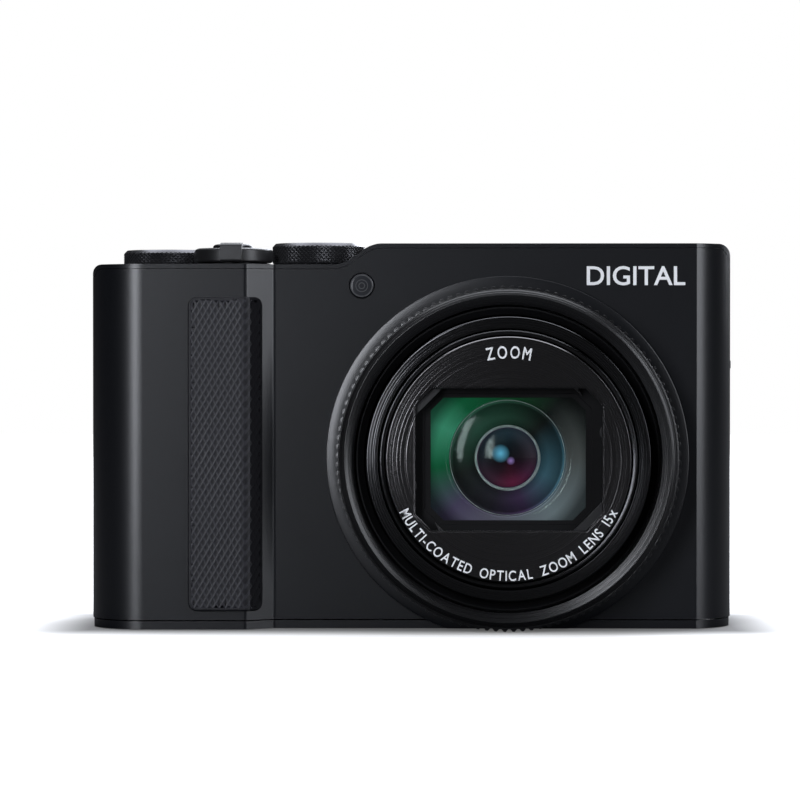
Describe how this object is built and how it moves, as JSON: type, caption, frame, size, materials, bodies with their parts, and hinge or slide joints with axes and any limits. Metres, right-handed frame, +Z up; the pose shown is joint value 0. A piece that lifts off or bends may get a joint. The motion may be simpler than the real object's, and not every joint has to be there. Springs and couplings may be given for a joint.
{
  "type": "compact digital camera",
  "caption": "Black compact digital camera with a telescoping zoom lens parked in its body, a ribbed lens control ring, top dials, pop-up flash, eye-level finder and rear screen.",
  "frame": {"origin": "under the middle of the overall box, on the surface the camera stands on", "axes": "+X to the right as the front is seen, along the body; +Y from the lens towards the screen, so the lens points to -Y; +Z up"},
  "size_m": [0.112, 0.0452, 0.0667],
  "materials": {
    "body_paint": "black satin paint",
    "dark_metal": "black anodised, satin",
    "knurled_metal": "black anodised with a knurled edge",
    "lens_plastic": "black, satin",
    "grip_rubber": "dark grey, moulded in small rhombs",
    "black_plastic": "black, fine matt",
    "gloss_black": "black, polished",
    "coated_glass": "coated optical glass",
    "clear_glass": "clear",
    "steel": "plain",
    "circuit_board": "green solder mask",
    "battery_case": "dark grey",
    "record_red": "black with a red dot"
  },
  "bodies": {
    "body": {"front_shell": "body_paint", "rear_shell": "body_paint", "top_cover": "body_paint", "base_plate": "body_paint", "grip_pad": "grip_rubber", "thumb_rest": "grip_rubber", "strap_lug_left": "dark_metal", "strap_lug_right": "dark_metal", "assist_lamp": "clear_glass", "lens_flange": "body_paint", "lens_sleeve": "lens_plastic", "lens_base": "black_plastic", "image_sensor": "gloss_black", "zoom_motor": "steel", "flash_tray": "black_plastic", "screen_glass": "gloss_black", "lcd_panel": "gloss_black", "finder_block": "black_plastic", "eyepiece_lens": "clear_glass", "eyecup": "grip_rubber", "pad_carrier": "black_plastic", "chassis": "steel", "main_board": "circuit_board", "battery": "battery_case", "battery_bay": "black_plastic", "port_sockets": "steel", "tripod_bush": "steel"},
    "control_ring": {"control_ring": "knurled_metal"},
    "outer_barrel": {"outer_barrel": "lens_plastic"},
    "middle_barrel": {"middle_barrel": "lens_plastic"},
    "front_group": {"front_barrel": "lens_plastic", "front_plate": "dark_metal", "light_baffle": "black_plastic", "front_element": "coated_glass", "lens_cell": "black_plastic", "inner_element": "coated_glass"},
    "leaf_long_left": {"barrier_leaf_long_left": "dark_metal"},
    "leaf_long_right": {"barrier_leaf_long_right": "dark_metal"},
    "leaf_short_left": {"barrier_leaf_short_left": "dark_metal"},
    "leaf_short_right": {"barrier_leaf_short_right": "dark_metal"},
    "zoom_lever": {"zoom_lever": "black_plastic"},
    "shutter_button": {"shutter_button": "dark_metal"},
    "mode_dial": {"mode_dial": "knurled_metal"},
    "rear_dial": {"rear_dial": "knurled_metal"},
    "movie_button": {"movie_button": "record_red"},
    "power_switch": {"power_switch": "black_plastic"},
    "flash": {"flash_head": "body_paint", "flash_window": "clear_glass"},
    "diopter_dial": {"diopter_dial": "black_plastic"},
    "four_way_pad": {"four_way_pad": "dark_metal"},
    "set_button": {"set_button": "dark_metal"},
    "af_lock_button": {"af_lock_button": "black_plastic"},
    "burst_button": {"burst_button": "black_plastic"},
    "playback_button": {"playback_button": "black_plastic"},
    "display_button": {"display_button": "black_plastic"},
    "quick_menu_button": {"quick_menu_button": "black_plastic"},
    "live_view_button": {"live_view_button": "black_plastic"},
    "battery_door": {"battery_door": "body_paint"},
    "door_latch": {"door_latch": "black_plastic"},
    "port_door": {"port_door": "grip_rubber"}
  },
  "joints": [
    {"name": "control_ring_turn", "type": "hinge", "parent": "body", "child": "control_ring", "pos_m": [0.0165, -0.0156, 0.0295], "axis": [0, 1, 0], "continuous": true},
    {"name": "outer_barrel_slide", "type": "slide", "parent": "body", "child": "outer_barrel", "axis": [0, -1, 0], "range_m": [0, 0.014]},
    {"name": "middle_barrel_slide", "type": "slide", "parent": "outer_barrel", "child": "middle_barrel", "axis": [0, -1, 0], "range_m": [0, 0.014]},
    {"name": "front_group_slide", "type": "slide", "parent": "middle_barrel", "child": "front_group", "axis": [0, -1, 0], "range_m": [0, 0.014]},
    {"name": "leaf_long_left_swing", "type": "hinge", "parent": "front_group", "child": "leaf_long_left", "pos_m": [-0.0011, -0.02105, 0.0295], "axis": [0, 1, 0], "range_deg": [0, 44]},
    {"name": "leaf_long_right_swing", "type": "hinge", "parent": "front_group", "child": "leaf_long_right", "pos_m": [0.0341, -0.02055, 0.0295], "axis": [0, 1, 0], "range_deg": [0, 44]},
    {"name": "leaf_short_left_swing", "type": "hinge", "parent": "front_group", "child": "leaf_short_left", "pos_m": [-0.0005, -0.02005, 0.02494], "axis": [0, 1, 0], "range_deg": [0, 26]},
    {"name": "leaf_short_right_swing", "type": "hinge", "parent": "front_group", "child": "leaf_short_right", "pos_m": [0.0335, -0.01955, 0.03406], "axis": [0, 1, 0], "range_deg": [0, 26]},
    {"name": "zoom_lever_turn", "type": "hinge", "parent": "body", "child": "zoom_lever", "pos_m": [-0.0311, -0.0025, 0.0645], "axis": [0, 0, 1], "range_deg": [-18, 18], "stiffness_Nm_per_rad": 0.01},
    {"name": "shutter_press", "type": "slide", "parent": "body", "child": "shutter_button", "axis": [0, 0, -1], "range_m": [0, 0.0007], "stiffness_N_per_m": 40, "springref_m": -0.002},
    {"name": "mode_dial_turn", "type": "hinge", "parent": "body", "child": "mode_dial", "pos_m": [-0.01649, 0.003, 0.0645], "axis": [0, 0, 1], "continuous": true},
    {"name": "rear_dial_turn", "type": "hinge", "parent": "body", "child": "rear_dial", "pos_m": [-0.0432, 0.0095, 0.064], "axis": [0, 0, 1], "continuous": true},
    {"name": "movie_press", "type": "slide", "parent": "body", "child": "movie_button", "axis": [0, 0, -1], "range_m": [0, 0.0004], "stiffness_N_per_m": 40, "springref_m": -0.002},
    {"name": "power_slide", "type": "slide", "parent": "body", "child": "power_switch", "axis": [1, 0, 0], "range_m": [0, 0.003]},
    {"name": "flash_lift", "type": "hinge", "parent": "body", "child": "flash", "pos_m": [0.0325, 0.0062, 0.0654], "axis": [-1, 0, 0], "range_deg": [0, 55]},
    {"name": "diopter_turn", "type": "hinge", "parent": "body", "child": "diopter_dial", "pos_m": [0.0249, 0.0177, 0.0581], "axis": [0, 0, 1], "range_deg": [-140, 140]},
    {"name": "four_way_pad_press", "type": "slide", "parent": "body", "child": "four_way_pad", "axis": [0, -1, 0], "range_m": [0, 0.0004], "stiffness_N_per_m": 40, "springref_m": -0.002},
    {"name": "set_press", "type": "slide", "parent": "body", "child": "set_button", "axis": [0, -1, 0], "range_m": [0, 0.0004], "stiffness_N_per_m": 40, "springref_m": -0.002},
    {"name": "af_lock_press", "type": "slide", "parent": "body", "child": "af_lock_button", "axis": [0, -1, 0], "range_m": [0, 0.0004], "stiffness_N_per_m": 40, "springref_m": -0.002},
    {"name": "burst_press", "type": "slide", "parent": "body", "child": "burst_button", "axis": [0, -1, 0], "range_m": [0, 0.0004], "stiffness_N_per_m": 40, "springref_m": -0.002},
    {"name": "playback_press", "type": "slide", "parent": "body", "child": "playback_button", "axis": [0, -1, 0], "range_m": [0, 0.0004], "stiffness_N_per_m": 40, "springref_m": -0.002},
    {"name": "display_press", "type": "slide", "parent": "body", "child": "display_button", "axis": [0, -1, 0], "range_m": [0, 0.0004], "stiffness_N_per_m": 40, "springref_m": -0.002},
    {"name": "quick_menu_press", "type": "slide", "parent": "body", "child": "quick_menu_button", "axis": [0, -1, 0], "range_m": [0, 0.0004], "stiffness_N_per_m": 40, "springref_m": -0.002},
    {"name": "live_view_press", "type": "slide", "parent": "body", "child": "live_view_button", "axis": [0, -1, 0], "range_m": [0, 0.0004], "stiffness_N_per_m": 40, "springref_m": -0.002},
    {"name": "battery_door_swing", "type": "hinge", "parent": "body", "child": "battery_door", "pos_m": [-0.0308, -0.0065, 0.0007], "axis": [-1, 0, 0], "range_deg": [0, 85]},
    {"name": "door_latch_slide", "type": "slide", "parent": "battery_door", "child": "door_latch", "axis": [0, -1, 0], "range_m": [0, 0.0022]},
    {"name": "port_door_swing", "type": "hinge", "parent": "body", "child": "port_door", "pos_m": [-0.055, 0.0125, 0.023], "axis": [0, 0, -1], "range_deg": [0, 100]}
  ],
  "couplings": [
    {"joint": "middle_barrel_slide", "follows": "outer_barrel_slide", "ratio": 1},
    {"joint": "front_group_slide", "follows": "outer_barrel_slide", "ratio": 1},
    {"joint": "leaf_long_right_swing", "follows": "leaf_long_left_swing", "ratio": 1},
    {"joint": "leaf_short_left_swing", "follows": "leaf_long_left_swing", "ratio": 0.5909},
    {"joint": "leaf_short_right_swing", "follows": "leaf_long_left_swing", "ratio": 0.5909}
  ]
}
